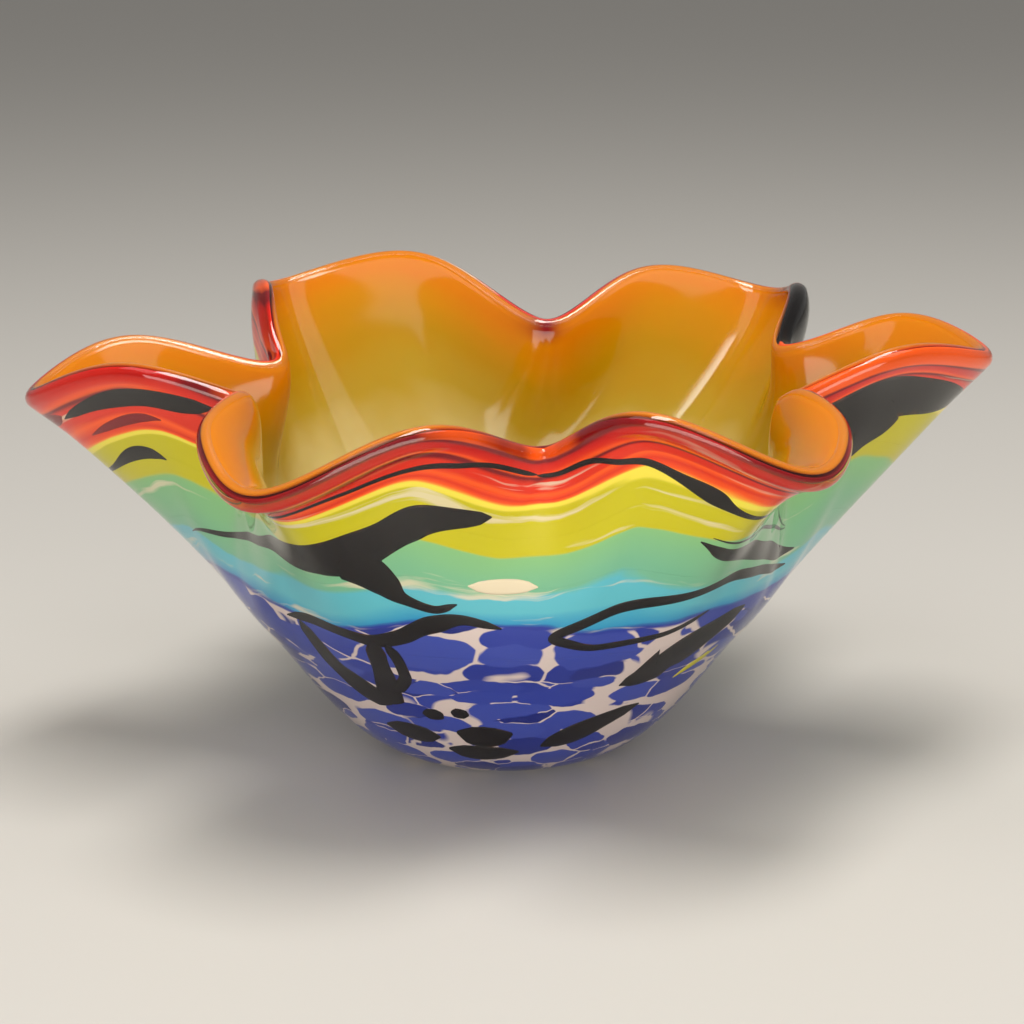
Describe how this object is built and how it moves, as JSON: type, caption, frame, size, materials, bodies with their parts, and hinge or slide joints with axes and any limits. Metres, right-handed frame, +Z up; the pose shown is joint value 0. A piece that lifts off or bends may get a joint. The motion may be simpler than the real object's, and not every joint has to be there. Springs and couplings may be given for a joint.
{
  "type": "art glass bowl",
  "caption": "Ruffled blown-glass bowl with lobed, folded rim, clear casing over coloured bands with black trails, and an amber lining, standing on a ground foot.",
  "frame": {"origin": "centre of the ground foot face, on the axis of the round body", "axes": "+Z up the body's axis; +X through the tip of the right lobe; the low front pinch is near -Y"},
  "size_m": [0.323, 0.2809, 0.1505],
  "materials": {
    "clear_glass": "clear soda-lime glass, fire polished",
    "amber_glass": "amber glass, fire polished, translucent",
    "cobalt_glass": "cobalt blue glass chips over cream",
    "turquoise_glass": "turquoise glass chips",
    "sea_green_glass": "sea green glass chips",
    "chartreuse_glass": "yellow-green glass chips",
    "scarlet_glass": "red and orange glass chips",
    "black_glass": "black glass trails, opaque",
    "garnet_glass": "dark red glass",
    "cream_glass": "opal cream glass",
    "yellow_glass": "lemon yellow glass"
  },
  "bodies": {
    "root": {"clear_casing": "clear_glass", "amber_lining": "amber_glass", "cobalt_band": "cobalt_glass", "turquoise_band": "turquoise_glass", "sea_green_band": "sea_green_glass", "chartreuse_band": "chartreuse_glass", "scarlet_band": "scarlet_glass", "tail_shard": "black_glass", "left_net_trail": "black_glass", "left_drop_trail": "black_glass", "right_hook_trail": "black_glass", "right_leaf_shard": "black_glass", "low_streak": "black_glass", "flank_shard": "black_glass", "right_rim_thread": "black_glass", "left_rim_thread": "black_glass", "left_lobe_band": "black_glass", "left_lobe_eye": "black_glass", "right_lobe_shard": "black_glass", "foot_blot": "black_glass", "back_shard": "black_glass", "back_left_trail": "black_glass", "back_right_trail": "black_glass", "back_rim_thread": "black_glass", "left_lobe_garnet": "garnet_glass", "cream_spot": "cream_glass", "yellow_streak": "yellow_glass"}
  },
  "joints": []
}
